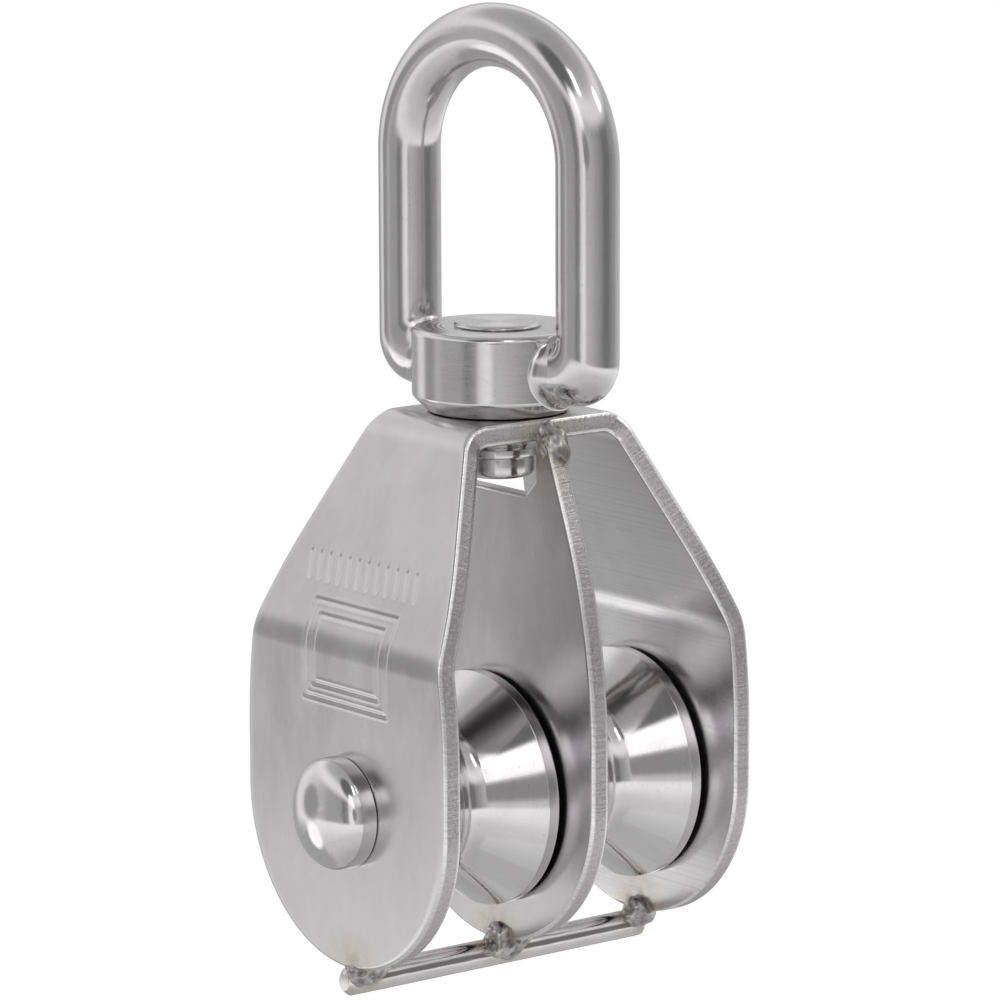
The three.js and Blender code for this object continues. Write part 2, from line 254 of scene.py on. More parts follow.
def turned_eye(point):
    """A point of the eye drawn with its legs in the Y-Z plane, turned to where the eye rests."""
    return Matrix.Rotation(EYE_TURN, 3, "Z") @ Vector(point)


def rounded(corners, steps=6):
    """A profile whose corners (a, b, rounding radius) are rounded. Its ends stay as they are."""
    result = [corners[0][:2]]
    for before, corner, after in zip(corners, corners[1:], corners[2:]):
        point = Vector(corner[:2])
        radius = corner[2] if len(corner) > 2 else 0
        if radius == 0:
            result.append(tuple(point))
            continue
        inward = (Vector(before[:2]) - point).normalized()
        outward = (Vector(after[:2]) - point).normalized()
        opening = inward.angle(outward)
        setback = radius / math.tan(opening / 2)
        centre = point + (inward + outward).normalized() * (radius / math.sin(opening / 2))
        start = point + inward * setback - centre
        turn = math.pi - opening
        turns_left = inward.x * outward.y - inward.y * outward.x < 0
        side = 1 if turns_left else -1
        for step in range(steps + 1):
            spoke = Matrix.Rotation(side * turn * step / steps, 2) @ start
            result.append(tuple(centre + spoke))
    result.append(corners[-1][:2])
    return result


# ---- Materials ----

DULL_SHEET = (0.60, 0.585, 0.595)
CLEAN_SHEET = (0.70, 0.685, 0.695)
TORN_EDGE = (0.50, 0.48, 0.49)
SHORN_EDGE = (0.66, 0.64, 0.65)
# Near-white colour painted as a highlight along the rounded corners of the sheet's cut edges.
EDGE_HIGHLIGHT = (0.97, 0.96, 0.97)
DARK_PIT = (0.32, 0.30, 0.29)
# Near-white colour painted as a highlight on the convex crests of polished parts.
CREST_HIGHLIGHT = (0.92, 0.92, 0.92)
DULL_WELD = (0.50, 0.48, 0.48)
BRIGHT_WELD = (0.72, 0.70, 0.70)
STAINED_WELD = (0.40, 0.34, 0.28)
# Near-black colour painted as shade in the weld's hollows.
WELD_HOLLOW_SHADE = (0.16, 0.15, 0.145)
STRAW_OXIDE = (0.50, 0.43, 0.30)
BROWN_OXIDE = (0.20, 0.16, 0.14)


class Nodes:
    """A small helper that builds the node tree of a material or of the world."""

    def __init__(self, owner):
        owner.use_nodes = True
        self.owner = owner
        self.tree = owner.node_tree
        self.coordinates = self.tree.nodes.new("ShaderNodeTexCoord")

    def link(self, source, target):
        """Joins an output socket to an input socket."""
        self.tree.links.new(source, target)

    def place(self, scale=(1, 1, 1), at=(0, 0, 0)):
        """Object coordinates in millimetres from a given point of the block, scaled."""
        mapping = self.tree.nodes.new("ShaderNodeMapping")
        mapping.vector_type = "POINT"
        mapping.inputs["Scale"].default_value = [s / MM for s in scale]
        shifted = [-(ORIGIN[i] + at[i] * MM) * scale[i] / MM for i in range(3)]
        mapping.inputs["Location"].default_value = shifted
        self.link(self.coordinates.outputs["Object"], mapping.inputs["Vector"])
        return mapping.outputs["Vector"]

    def noise(self, vector, scale, detail=4, roughness=0.55, distortion=0.0):
        """Fractal noise from 0 to 1: a higher scale makes smaller lumps."""
        texture = self.tree.nodes.new("ShaderNodeTexNoise")
        texture.inputs["Scale"].default_value = scale
        texture.inputs["Detail"].default_value = detail
        texture.inputs["Roughness"].default_value = roughness
        texture.inputs["Distortion"].default_value = distortion
        self.link(vector, texture.inputs["Vector"])
        return texture.outputs["Fac"]

    def span(self, value, from_low, from_high, to_low, to_high, soft=False):
        """Maps a value's range to another one, clamped, and with soft ends if asked."""
        node = self.tree.nodes.new("ShaderNodeMapRange")
        node.interpolation_type = "SMOOTHSTEP" if soft else "LINEAR"
        node.inputs["From Min"].default_value = from_low
        node.inputs["From Max"].default_value = from_high
        node.inputs["To Min"].default_value = to_low
        node.inputs["To Max"].default_value = to_high
        self.link(value, node.inputs["Value"])
        return node.outputs["Result"]

    def math(self, operation, first, second):
        """Joins two values, each a number or a socket, by a Math node."""
        node = self.tree.nodes.new("ShaderNodeMath")
        node.operation = operation
        for socket, value in zip(node.inputs, (first, second)):
            if isinstance(value, (int, float)):
                socket.default_value = value
            else:
                self.link(value, socket)
        return node.outputs["Value"]

    def mix(self, factor, first, second):
        """Blends two colours, each a tuple or a socket."""
        node = self.tree.nodes.new("ShaderNodeMix")
        node.data_type = "RGBA"
        self.link(factor, node.inputs["Factor"])
        for socket, value in ((node.inputs["A"], first), (node.inputs["B"], second)):
            if isinstance(value, tuple):
                socket.default_value = (*value, 1)
            else:
                self.link(value, socket)
        return node.outputs["Result"]

    def bump(self, height, strength, distance, normal=None):
        """Bumps with a height of distance in millimetres, over an earlier normal if given."""
        node = self.tree.nodes.new("ShaderNodeBump")
        node.inputs["Strength"].default_value = strength
        node.inputs["Distance"].default_value = distance * MM
        self.link(height, node.inputs["Height"])
        if normal is not None:
            self.link(normal, node.inputs["Normal"])
        return node.outputs["Normal"]

    def near(self, vector, radius, softness):
        """1 within the radius of the vector's origin, fading to 0 over the softness."""
        length = self.tree.nodes.new("ShaderNodeVectorMath")
        length.operation = "LENGTH"
        self.link(vector, length.inputs[0])
        return self.span(length.outputs["Value"], radius, radius + softness, 1, 0)

    def crests(self, low, high):
        """0 to 1 between two levels of the mesh's own pointiness, where 0.5 is flat."""
        geometry = self.tree.nodes.new("ShaderNodeNewGeometry")
        return self.span(geometry.outputs["Pointiness"], low, high, 0, 1)

    def sheet_marks(self):
        """The marks of a sheet's points, and the band among them: 0 on a face, 1 in a cut edge."""
        attribute = self.tree.nodes.new("ShaderNodeAttribute")
        attribute.attribute_name = "sheet_marks"
        split = self.tree.nodes.new("ShaderNodeSeparateXYZ")
        self.link(attribute.outputs["Vector"], split.inputs["Vector"])
        return attribute.outputs["Vector"], split.outputs["Z"]

    def stretched(self, vector, scale):
        """A vector with each of its three parts scaled."""
        mapping = self.tree.nodes.new("ShaderNodeMapping")
        mapping.inputs["Scale"].default_value = scale
        self.link(vector, mapping.inputs["Vector"])
        return mapping.outputs["Vector"]

    def finish(self, colour, roughness, normal):
        """Links a metal's colour, roughness and normal, and gives the finished material."""
        shader = self.tree.nodes["Principled BSDF"]
        shader.inputs["Metallic"].default_value = 1
        self.link(colour, shader.inputs["Base Color"])
        self.link(roughness, shader.inputs["Roughness"])
        self.link(normal, shader.inputs["Normal"])
        return self.owner


def heat_tint(nodes, colour, spots):
    """Straw and brown rings of oxide round each (centre, radius) in spots."""
    for centre, radius in spots:
        vector = nodes.place(at=centre)
        ragged = nodes.noise(nodes.place(), 0.9, 3)
        straw = nodes.near(vector, radius * 0.7, radius * 0.8)
        brown = nodes.near(vector, radius * 0.35, radius * 0.45)
        straw = nodes.math("MULTIPLY", straw, nodes.span(ragged, 0.35, 0.65, 0.35, 1))
        brown = nodes.math("MULTIPLY", brown, nodes.span(ragged, 0.4, 0.6, 0.3, 1))
        colour = nodes.mix(nodes.math("MULTIPLY", straw, 0.55), colour, STRAW_OXIDE)
        colour = nodes.mix(nodes.math("MULTIPLY", brown, 0.7), colour, BROWN_OXIDE)
    return colour


def satin_sheet(name, spots):
    """Rolled stainless sheet, tumbled to a satin. Its cut edges are sheared, with a painted
    highlight along their rounded corners.
    """
    nodes = Nodes(bpy.data.materials.new(name))
    clouds = nodes.noise(nodes.place((1, 0.6, 0.25)), 0.35, 5, 0.6)
    grain = nodes.noise(nodes.place((1, 6, 0.8)), 2.2, 6, 0.7)
    specks = nodes.noise(nodes.place(), 9.0, 3, 0.6)
    marks, band = nodes.sheet_marks()
    shear = nodes.noise(nodes.stretched(marks, (3.2, 0.5, 0.0)), 1.0, 5, 0.7)
    pitting = nodes.noise(nodes.stretched(marks, (2.0, 3.0, 0.0)), 1.6, 4, 0.7)
    cut = nodes.span(band, 0.6, 0.9, 0, 1)
    # Painted highlight: a near-white line on each rounded corner of a cut edge, broken up by the
    # shear noise.
    from_edge_highlight = nodes.math("ABSOLUTE", nodes.math("SUBTRACT", band, 0.5), 0)
    edge_highlight = nodes.span(from_edge_highlight, 0.1, 0.45, 1, 0)
    colour = nodes.mix(nodes.span(clouds, 0.3, 0.7, 0, 1), DULL_SHEET, CLEAN_SHEET)
    torn = nodes.mix(nodes.span(pitting, 0.4, 0.62, 0, 1), TORN_EDGE, SHORN_EDGE)
    colour = nodes.mix(nodes.math("MULTIPLY", cut, 0.8), colour, torn)
    shine = nodes.math("MULTIPLY", edge_highlight, nodes.span(shear, 0.35, 0.55, 0.4, 1.0))
    colour = nodes.mix(shine, colour, EDGE_HIGHLIGHT)
    colour = heat_tint(nodes, colour, spots)
    roughness = nodes.math("ADD", nodes.span(clouds, 0.3, 0.7, 0.19, 0.27),
                           nodes.span(grain, 0.3, 0.7, -0.03, 0.03))
    roughness = nodes.math("ADD", roughness, nodes.math("MULTIPLY", cut, 0.06))
    normal = nodes.bump(specks, 0.2, 0.01)
    normal = nodes.bump(grain, 0.2, 0.012, normal)
    normal = nodes.bump(nodes.math("MULTIPLY", shear, cut), 0.6, 0.12, normal)
    normal = nodes.bump(nodes.math("MULTIPLY", pitting, cut), 0.25, 0.08, normal)
    return nodes.finish(colour, roughness, normal)


def polished_steel(name, roughness_low, roughness_high, stretch, bump, tone=0.72, spots=()):
    """Machine-polished steel. stretch sets which way its fine lines run, tone how bright it is."""
    nodes = Nodes(bpy.data.materials.new(name))
    dull = (tone * 0.93, tone * 0.905, tone * 0.92)
    clean = (tone, tone * 0.98, tone * 0.99)
    lines = nodes.noise(nodes.place(stretch), 1.6, 6, 0.7)
    clouds = nodes.noise(nodes.place(), 0.3, 4, 0.6)
    pits = nodes.noise(nodes.place(), 5.0, 3, 0.5)
    colour = nodes.mix(nodes.span(clouds, 0.35, 0.65, 0, 1), dull, clean)
    colour = nodes.mix(nodes.span(pits, 0.66, 0.74, 0, 0.5), colour, DARK_PIT)
    # Painted highlight: convex crests and corners are lightened towards near-white.
    crest_highlight = nodes.math("MULTIPLY", nodes.crests(0.51, 0.56), 0.4)
    colour = nodes.mix(crest_highlight, colour, CREST_HIGHLIGHT)
    colour = heat_tint(nodes, colour, spots)
    roughness = nodes.span(lines, 0.3, 0.7, roughness_low, roughness_high)
    normal = nodes.bump(lines, bump, 0.01)
    return nodes.finish(colour, roughness, normal)


def weld_metal(name):
    """As-welded steel: bright on its crests, a little brown with oxide, and dark with painted
    shade in its hollows.
    """
    nodes = Nodes(bpy.data.materials.new(name))
    lumps = nodes.noise(nodes.place(), 0.55, 3, 0.5, 0.3)
    fine = nodes.noise(nodes.place(), 3.5, 3, 0.5)
    stain = nodes.noise(nodes.place(at=(3, 5, 7)), 0.7, 2, 0.5)
    colour = nodes.mix(nodes.span(lumps, 0.4, 0.6, 0, 1), DULL_WELD, BRIGHT_WELD)
    colour = nodes.mix(nodes.span(stain, 0.56, 0.68, 0, 0.45), colour, STAINED_WELD)
    # Painted shade: the weld's concave hollows, found by pointiness, are darkened to near-black.
    colour = nodes.mix(nodes.crests(0.47, 0.53), WELD_HOLLOW_SHADE, colour)
    roughness = nodes.span(lumps, 0.35, 0.65, 0.36, 0.2)
    normal = nodes.bump(fine, 0.2, 0.02)
    return nodes.finish(colour, roughness, normal)


# Places of the frame's welds, whose heat tints the steel round them.
CROWN_WELD_AT = [(0.3, side * (NOTCH_HALF + 1.0), CROWN_Z - SHEET - 0.6) for side in (-1, 1)]
ROD_WELD_AT = [(x, -0.9, STRAP[0][2]) for x in (-CHEEK_X + SHEET, 0, CHEEK_X - SHEET)]
SHEET_SPOTS = [(at, 3.2) for at in CROWN_WELD_AT] + [(at, 3.0) for at in ROD_WELD_AT]

SHEET_MATERIAL = satin_sheet("satin_sheet", SHEET_SPOTS)
BAR_MATERIAL = polished_steel("polished_bar", 0.08, 0.17, (3, 3, 0.25), 0.25)
COLLAR_MATERIAL = polished_steel("turned_collar", 0.09, 0.19, (0.4, 0.4, 5), 0.3)
SHEAVE_MATERIAL = polished_steel("polished_sheave", 0.06, 0.14, (6, 0.4, 0.4), 0.12, tone=0.80)
AXLE_MATERIAL = polished_steel("axle_steel", 0.06, 0.12, (2, 1, 1), 0.15, tone=0.78)
ROD_MATERIAL = polished_steel("drawn_rod", 0.09, 0.18, (0.3, 4, 4), 0.25, tone=0.74,
                              spots=[(at, 2.4) for at in ROD_WELD_AT])
WELD_MATERIAL = weld_metal("weld_metal")
FOOT_WELD_MATERIAL = polished_steel("ground_weld", 0.12, 0.2, (2, 2, 2), 0.25)


# ---- Cheeks and crown: one bent strap ----

KNEE_Z = CROWN_Z - (CHEEK_X - CROWN_CORNER_X) / math.tan(SPLAY)
SHEET_CORNER = 0.3


def half_width(flat_z):
    """Half of the plate's width at a height on the flat sheet."""
    if flat_z <= SIDE_RISE:
        if flat_z > LOBE_Z:
            return LOBE_RADIUS
        reach = LOBE_RADIUS ** 2 - (flat_z - LOBE_Z) ** 2
        return math.sqrt(max(0.0, reach))
    shoulder_top = SIDE_RISE + SHOULDER_RADIUS * math.sin(TAPER)
    if flat_z <= shoulder_top:
        rise = flat_z - SIDE_RISE
        return LOBE_RADIUS - SHOULDER_RADIUS + math.sqrt(SHOULDER_RADIUS ** 2 - rise ** 2)
    at_top = LOBE_RADIUS - SHOULDER_RADIUS * (1 - math.cos(TAPER))
    return max(CROWN_HALF_WIDTH, at_top - (flat_z - shoulder_top) * math.tan(TAPER))


class BentLine:
    """The strap's outer line on the right-hand side, by distance from the crown's middle."""

    def __init__(self):
        crown_turn = math.pi / 2 - SPLAY
        crown_setback = CROWN_BEND * math.tan(crown_turn / 2)
        knee_setback = KNEE_BEND * math.tan(SPLAY / 2)
        slope = math.hypot(CHEEK_X - CROWN_CORNER_X, CROWN_Z - KNEE_Z)
        self.flat = CROWN_CORNER_X - crown_setback
        self.crown_end = self.flat + CROWN_BEND * crown_turn
        self.knee_start = self.crown_end + slope - crown_setback - knee_setback
        self.knee_end = self.knee_start + KNEE_BEND * SPLAY
        self.crown_centre = Vector((self.flat, CROWN_Z - CROWN_BEND))
        down = Vector((math.sin(SPLAY), -math.cos(SPLAY)))
        self.slope_from = Vector((CROWN_CORNER_X, CROWN_Z)) + down * crown_setback
        self.down = down
        self.knee_centre = Vector((CHEEK_X - KNEE_BEND, KNEE_Z - knee_setback))
        self.length = self.knee_end + self.knee_centre.y - STRAP[0][2]

    def at(self, distance):
        """Point (x, z) and outward normal at a distance along the line."""
        if distance <= self.flat:
            return Vector((distance, CROWN_Z)), Vector((0, 1))
        if distance <= self.crown_end:
            angle = (distance - self.flat) / CROWN_BEND
            normal = Vector((math.sin(angle), math.cos(angle)))
            return self.crown_centre + normal * CROWN_BEND, normal
        if distance <= self.knee_start:
            point = self.slope_from + self.down * (distance - self.crown_end)
            return point, Vector((math.cos(SPLAY), math.sin(SPLAY)))
        if distance <= self.knee_end:
            angle = math.pi / 2 - SPLAY + (distance - self.knee_start) / KNEE_BEND
            normal = Vector((math.sin(angle), math.cos(angle)))
            return self.knee_centre + normal * KNEE_BEND, normal
        drop = distance - self.knee_end
        return Vector((CHEEK_X, self.knee_centre.y - drop)), Vector((1, 0))


LINE = BentLine()


# Stamped ornament on the left cheek: strokes from one (y, flat height) to another.
# It stands where the real block has its stamp, and shows plain shapes only: a row of slashes
# over two rectangles, one inside the other.
STAMP_HALF_WIDTH = 0.15
STAMP_DEPTH = 0.07
LIP_HEIGHT = 0.015
LIP_AT = 2.2 * STAMP_HALF_WIDTH
LIP_SPREAD = 0.8 * STAMP_HALF_WIDTH
STAMP_GRID = 0.11
DASH_COUNT = 12
DASH_PITCH = 1.32
DASH_MIDDLE = (0.5, 20.1)
DASH_REACH = (0.32, 1.05)
FRAME_MIDDLE = (-0.2, 13.2)
FRAME_REACHES = [(5.6, 4.1), (4.4, 2.9)]


def stamp_strokes():
    """The strokes of the slashes and of the rectangles' sides."""
    strokes = []
    half_y, half_z = DASH_REACH
    z = DASH_MIDDLE[1]
    for i in range(DASH_COUNT):
        y = DASH_MIDDLE[0] + (i - (DASH_COUNT - 1) / 2) * DASH_PITCH
        strokes.append(((y - half_y, z - half_z), (y + half_y, z + half_z)))
    for half_y, half_z in FRAME_REACHES:
        corners = []
        for turn_y, turn_z in ((-1, -1), (1, -1), (1, 1), (-1, 1)):
            corners.append((FRAME_MIDDLE[0] + turn_y * half_y, FRAME_MIDDLE[1] + turn_z * half_z))
        strokes += list(zip(corners, corners[1:] + corners[:1]))
    return strokes


STROKES = stamp_strokes()

# The field that holds the strokes, and the shares of the half width that reach over it.
STAMP_Y = (-8.4, 9.2)
STAMP_Z = (8.2, 22.0)
STAMP_SHARES = (-0.8, 0.88)

# Spacing of the strap's rows and columns away from the stamp.
PLAIN_ROW = 0.5
BEND_ROW = 0.25
TIP_ROW = 0.004
PLAIN_SHARE = 0.05


def stroke_distance(y, z, stroke):
    """Distance of a point from the nearest point of a stroke."""
    start, end = Vector(stroke[0]), Vector(stroke[1])
    along = end - start
    spot = Vector((y, z))
    share = (spot - start).dot(along) / along.length_squared
    nearest = start + along * min(1, max(0, share))
    return (spot - nearest).length


def stamp_height(y, z):
    """Height of the stamped surface: sunk along each stroke, with a raised lip beside it."""
    if not (STAMP_Y[0] < y < STAMP_Y[1] and STAMP_Z[0] < z < STAMP_Z[1]):
        return 0
    gap = min(stroke_distance(y, z, stroke) for stroke in STROKES)
    sunk = math.exp(-(gap / STAMP_HALF_WIDTH) ** 2)
    lip = math.exp(-((gap - LIP_AT) / LIP_SPREAD) ** 2)
    return LIP_HEIGHT * lip - STAMP_DEPTH * sunk


def spaced(start, stop, step):
    """Evenly spaced values from start to stop, either way, about a step apart."""
    count = round(abs(stop - start) / step)
    return [start + (stop - start) * i / count for i in range(count + 1)]


def flat_height(z):
    """Height on the flat sheet of a height on the bent cheek."""
    return z if z < KNEE_Z else KNEE_Z + (z - KNEE_Z) / math.cos(SPLAY)


def row_step(side, distance):
    """Spacing of the strap's rows at a distance: closest at the stamp, the bends and the tips."""
    z = LINE.at(distance)[0].y
    if side < 0 and STAMP_Z[0] < flat_height(z) < STAMP_Z[1] and distance > LINE.crown_end:
        return STAMP_GRID
    if LINE.flat - PLAIN_ROW < distance < LINE.crown_end:
        return BEND_ROW
    if z < LOBE_Z:
        return max(TIP_ROW, PLAIN_ROW * half_width(z) / LOBE_RADIUS)
    return PLAIN_ROW


def strap_stations(side):
    """Distances of the rows of one cheek from the crown's middle."""
    distances = [0.0]
    while distances[-1] < LINE.length:
        distances.append(distances[-1] + row_step(side, distances[-1]))
    distances[-1] = LINE.length
    return distances


def column_shares():
    """Shares of the half width, -1 to 1, at which the columns of the outer face stand."""
    fine = spaced(*STAMP_SHARES, STAMP_GRID / LOBE_RADIUS)
    before = spaced(-1, fine[0], PLAIN_SHARE)[:-1]
    after = spaced(fine[-1], 1, PLAIN_SHARE)[1:]
    return before + fine + after


def edge_profile(thickness, corner, steps=4):
    """Points round a sheet's cut edge, from its outer face to its inner one.

    Each is (inset, depth, band). The band is 0 on the faces, near 0.5 on the rounded corners,
    where a highlight is painted, and 1 between.
    """
    first = []
    for step in range(steps + 1):
        angle = math.pi / 2 * step / steps
        first.append((corner * (1 - math.sin(angle)), corner * (1 - math.cos(angle)),
                      0.7 * step / steps))
    middle = [(0.0, thickness * share, 1.0) for share in (0.25, 0.5, 0.75)]
    last = [(inset, thickness - depth, band) for inset, depth, band in reversed(first)]
    return first + middle + last


def strap_point(signed, y, depth):
    """A point of the strap from its signed distance, its place across and its depth."""
    side = -1 if signed < 0 else 1
    point, normal = LINE.at(abs(signed))
    lift = -depth
    if side < 0 and depth == 0:
        lift += stamp_height(y, flat_height(point.y))
    spot = point + normal * lift
    return (side * spot.x, y, spot.y)


def strap_outline():
    """Signed distance and half width of each row, from the left lobe's tip to the right one's."""
    left = [-distance for distance in reversed(strap_stations(-1))]
    right = strap_stations(1)[1:]
    outline = []
    for signed in left + right:
        point, _ = LINE.at(abs(signed))
        outline.append(Vector((signed, half_width(flat_height(point.y)))))
    outline[0].y = outline[-1].y = 0.0
    return outline


def outline_normals(outline):
    """Outward direction of the outline at each of its points."""
    normals = []
    for i in range(len(outline)):
        tangent = outline[min(i + 1, len(outline) - 1)] - outline[max(i - 1, 0)]
        normals.append(Vector((-tangent.y, tangent.x)).normalized())
    normals[0] = Vector((-1, 0))
    normals[-1] = Vector((1, 0))
    return normals


def strap():
    """Both cheeks and the crown, in one bent strap."""
    outline = strap_outline()
    shares = column_shares()
    profile = edge_profile(SHEET, SHEET_CORNER)
    points = []
    loops = []
    marks = []
    run = 0.0
    for i, (spot, normal) in enumerate(zip(outline, outline_normals(outline))):
        run += (spot - outline[max(0, i - 1)]).length
        ring = []
        for inset, depth, band in profile:
            place = spot - normal * inset
            rough = wobble((run, depth, 4.0), 0.5, 0.03) if band == 1 else 0
            ring.append((place.x, max(0.0, place.y - abs(rough)), depth, band))
        face_s, face_y = ring[0][:2]
        loop = [(face_s, share * face_y, 0, 0) for share in shares]
        loop += ring[1:-1]
        loop += [(s, -y, depth, band) for s, y, depth, band in reversed(ring[1:-1])]
        loops.append(range(len(points), len(points) + len(loop)))
        points += [strap_point(*place[:3]) for place in loop]
        marks += [(run, depth, band) for _, _, depth, band in loop]
    piece = new_object("cheek_strap_finished", points, stitched(loops), marks)
    drill(piece, AXLE_RADIUS, -CHEEK_X - 1, CHEEK_X + 1, 64, about_x)
    drill(piece, PIN_RADIUS + HOLE_CLEARANCE, CROWN_Z - SHEET - 1, CROWN_Z + 1, 64, about_z)
    keep_edges_crisp(piece)
    return finish_piece(piece, "frame", SHEET_MATERIAL, "cheek_strap")


# ---- Centre plate ----

def centre_outline():
    """Closed outline (y, z) of the centre plate, clockwise from the notch's right corner."""
    side_step = 0.3
    lobe_steps = 60
    right = [(NOTCH_HALF, PLATE_TOP_Z)]
    right += [(half_width(z), z) for z in spaced(PLATE_TOP_Z, LOBE_Z, side_step)]
    for step in range(1, lobe_steps):
        angle = math.pi / 2 * step / lobe_steps
        right.append((LOBE_RADIUS * math.cos(angle), LOBE_Z - LOBE_RADIUS * math.sin(angle)))
    left = [(-y, z) for y, z in reversed(right)]
    floor = NOTCH_HALF - NOTCH_CUT
    notch = [(-NOTCH_HALF, NOTCH_BOTTOM + NOTCH_CUT), (-floor, NOTCH_BOTTOM),
             (floor, NOTCH_BOTTOM), (NOTCH_HALF, NOTCH_BOTTOM + NOTCH_CUT)]
    return right + [(0, LOBE_Z - LOBE_RADIUS)] + left + notch


def inset_loop(loop, inset):
    """A closed clockwise loop moved inwards, with the shift at its sharp corners limited."""
    result = []
    count = len(loop)
    for i in range(count):
        before = (Vector(loop[i]) - Vector(loop[i - 1])).normalized()
        after = (Vector(loop[(i + 1) % count]) - Vector(loop[i])).normalized()
        bisector = (before + after).normalized()
        inward = Vector((bisector.y, -bisector.x))
        stretch = 1 / max(0.35, bisector.dot(after))
        result.append(Vector(loop[i]) + inward * inset * stretch)
    return result


def centre_plate():
    """The flat plate between the sheaves, with a notch for the pin's head in its top."""
    outline = centre_outline()
    profile = edge_profile(SHEET, SHEET_CORNER)
    points = []
    rings = []
    marks = []
    for inset, depth, band in profile:
        rings.append(range(len(points), len(points) + len(outline)))
        run = 0.0
        before = outline[0]
        for (y, z), corner in zip(inset_loop(outline, inset), outline):
            run += math.dist(before, corner)
            before = corner
            points.append((SHEET / 2 - depth, y, z))
            marks.append((run, depth, band))
    faces = [tuple(rings[0]), tuple(reversed(rings[-1]))] + stitched(rings)
    piece = new_object("centre_plate_finished", points, faces, marks)
    drill(piece, AXLE_RADIUS, -SHEET, SHEET, 64, about_x)
    keep_edges_crisp(piece)
    return finish_piece(piece, "frame", SHEET_MATERIAL, "centre_plate")


# ---- Sheaves, axle and tie rod ----

def sheave(node, body, box):
    """A rope sheave: straight flanks that meet in a round bottom, between two narrow rims."""
    half = SHEAVE_WIDTH / 2
    middle = (box[0][0] + box[1][0]) / 2
    groove_half = half - RIM_WIDTH
    sine, cosine = math.sin(GROOVE_FLANK), math.cos(GROOVE_FLANK)
    bottom_radius = (groove_half * cosine - GROOVE_DEPTH * sine) / (1 - sine)
    centre = SHEAVE_RADIUS - GROOVE_DEPTH + bottom_radius
    bore = AXLE_RADIUS + HOLE_CLEARANCE
    half_steps = 16
    corners = [(bore, -half), (SHEAVE_RADIUS, -half, 0.3), (SHEAVE_RADIUS, -groove_half, 0.12)]
    for step in range(2 * half_steps + 1):
        angle = (math.pi / 2 - GROOVE_FLANK) * (step / half_steps - 1)
        corners.append((centre - bottom_radius * math.cos(angle),
                        bottom_radius * math.sin(angle)))
    corners += [(SHEAVE_RADIUS, groove_half, 0.12), (SHEAVE_RADIUS, half, 0.3), (bore, half)]
    profile = [(radius, middle + x) for radius, x in rounded(corners)]
    piece = new_object(node + "_finished", *lathe(profile, 160, about_x))
    keep_edges_crisp(piece)
    return finish_piece(piece, body, SHEAVE_MATERIAL, node)


def axle_rivet():
    """The axle: a domed head on the left cheek and a peened end on the right one."""
    head_face = -CHEEK_X - SEAT_GAP
    head_skirt = 1.2
    head_rise = head_face - head_skirt - AXLE[0][0]
    head_steps = 24
    corners = []
    for step in range(head_steps + 1):
        angle = math.pi / 2 * step / head_steps
        corners.append((HEAD_RADIUS * math.sin(angle),
                        head_face - head_skirt - head_rise * math.cos(angle)))
    peen_face = CHEEK_X + SEAT_GAP
    peen_radius = 4.0
    peen_skirt = 0.2
    peen_rise = AXLE[1][0] - peen_face - peen_skirt
    peen_steps = 16
    corners += [(HEAD_RADIUS, head_face, 0.12), (AXLE_RADIUS, head_face),
                (AXLE_RADIUS, peen_face), (peen_radius, peen_face, 0.1)]
    for step in range(peen_steps):
        angle = math.pi / 2 * step / peen_steps
        corners.append((peen_radius * math.cos(angle),
                        peen_face + peen_skirt + peen_rise * math.sin(angle)))
    corners.append((0.0, AXLE[1][0]))
    piece = new_object("axle_rivet_finished", *lathe(rounded(corners), 96, about_x))
    keep_edges_crisp(piece)
    return finish_piece(piece, "frame", AXLE_MATERIAL, "axle_rivet")


def tie_rod():
    """Bright rod under the plates, with bevelled ends and faint dents."""
    left, right = ROD[0][0], ROD[1][0]
    bevel = 0.5
    plain_end = 2
    stations = [(0, left), (ROD_RADIUS - bevel, left, 0.1), (ROD_RADIUS, left + bevel, 0.2)]
    stations += [(ROD_RADIUS, x) for x in spaced(left + plain_end, right - plain_end, 0.5)]
    stations += [(ROD_RADIUS, right - bevel, 0.2), (ROD_RADIUS - bevel, right, 0.1), (0, right)]

    def place(radius, angle, x):
        dent = wobble((x, 3 * math.cos(angle), 3 * math.sin(angle)), 2.2, 0.025)
        radius = max(0.0, radius - abs(dent)) if radius > 0 else 0
        return (x, radius * math.cos(angle), ROD_Z + radius * math.sin(angle))

    piece = new_object("tie_rod_finished", *lathe(rounded(stations), 48, place))
    keep_edges_crisp(piece)
    return finish_piece(piece, "frame", ROD_MATERIAL, "tie_rod")


# ---- Swivel ----

def collar():
    """Turned collar with rounded corners and faint rings on its top."""
    low, high = COLLAR[0][2], COLLAR[1][2]
    bore = PIN_RADIUS + SEAT_GAP
    bevel = 1.3
    ring_depth = 0.03
    ring_pitch = 0.075
    rings_from = COLLAR_RADIUS - 0.75
    corners = [(bore, low), (COLLAR_RADIUS - bevel, low, 0.3), (COLLAR_RADIUS, low + bevel, 0.5),
               (COLLAR_RADIUS, high, 0.55)]
    for step in range(40):
        radius = rings_from - step * ring_pitch
        corners.append((radius, high - turning_mark(step, 3, ring_depth)))
    corners.append((bore, high - ring_depth))

    def place(radius, angle, height):
        return turned_eye(about_z(radius, angle, height))

    piece = new_object("swivel_collar_finished", *lathe(rounded(corners), 128, place))
    keep_edges_crisp(piece)
    return finish_piece(piece, "eye", COLLAR_MATERIAL, "swivel_collar")


